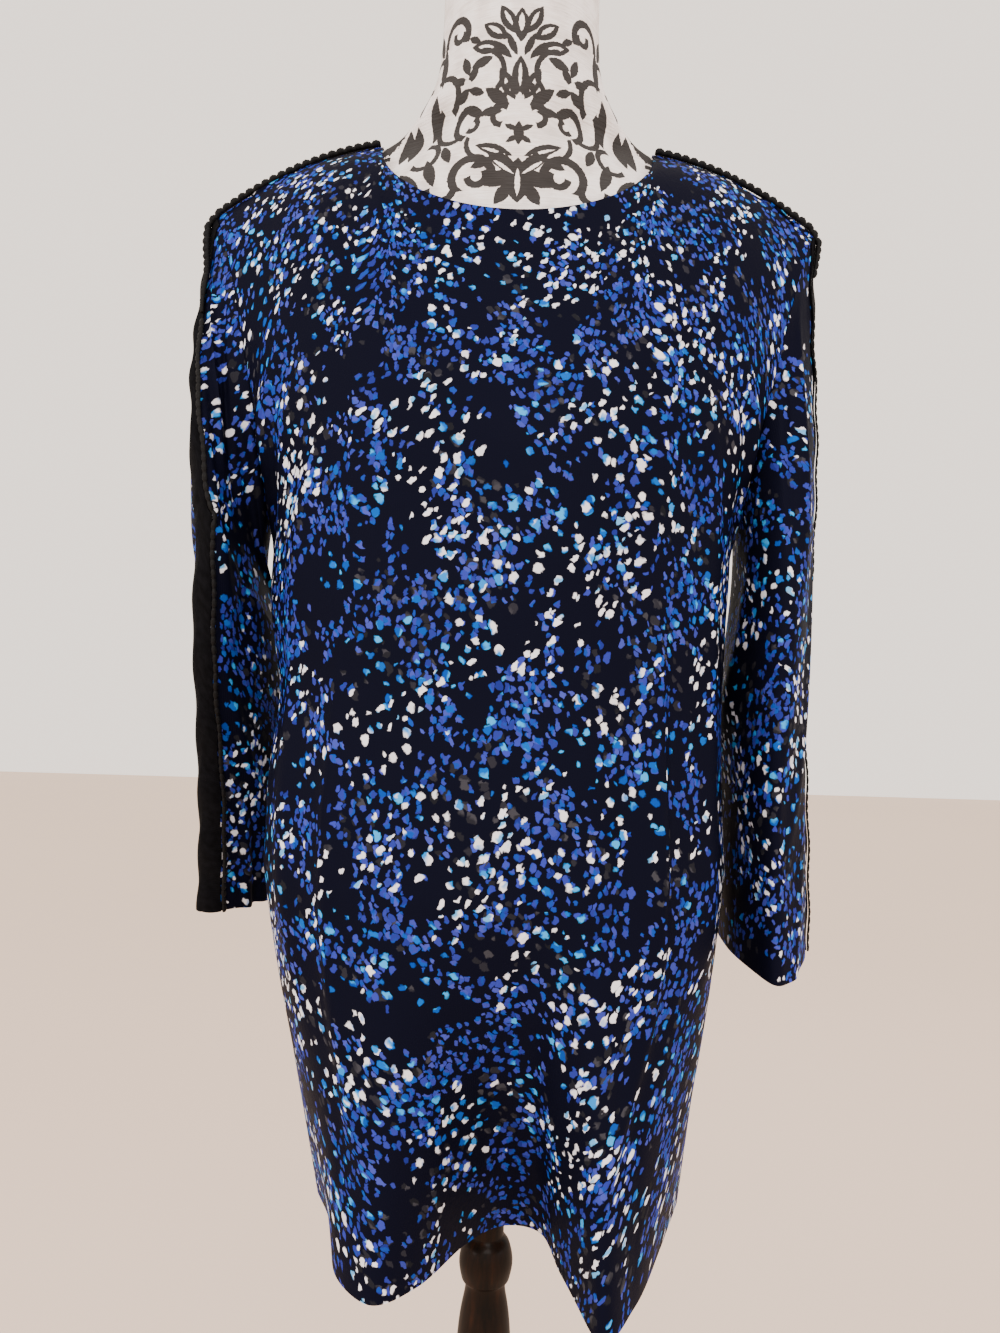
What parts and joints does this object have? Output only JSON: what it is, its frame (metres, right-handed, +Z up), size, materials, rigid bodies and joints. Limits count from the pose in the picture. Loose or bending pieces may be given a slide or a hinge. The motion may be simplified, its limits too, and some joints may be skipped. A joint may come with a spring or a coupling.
{
  "type": "long-sleeve dress on dress form",
  "caption": "Loose long-sleeve shift dress with a round neck, scalloped braid on the shoulders and black ribbon down the sleeves, worn on a limbless dress form on a turned stand.",
  "frame": {"origin": "centre of the foot's underside, on the floor and on the form's axis", "axes": "+Z up along the form's axis; the dress's front faces -Y; +X is to the right as seen from the front"},
  "size_m": [0.4603, 0.344, 1.557],
  "materials": {
    "printed_satin": "satin with a scattered dab print in blues, white and grey on black",
    "black_ribbon": "matt satin ribbon",
    "black_braid": "matt scalloped braid",
    "form_cover": "off-white slubbed cloth with black scroll ornament",
    "dark_wood": "dark stained and varnished"
  },
  "bodies": {
    "root": {"dress_front": "printed_satin", "dress_back": "printed_satin", "sleeve_left": "printed_satin", "sleeve_right": "printed_satin", "sleeve_band_left": "black_ribbon", "sleeve_band_right": "black_ribbon", "braid_sleeve_left": "black_braid", "braid_sleeve_right": "black_braid", "braid_shoulder_left": "black_braid", "braid_shoulder_right": "black_braid", "form_body": "form_cover", "form_cap": "dark_wood", "stand_post": "dark_wood", "stand_base": "dark_wood"}
  },
  "joints": []
}
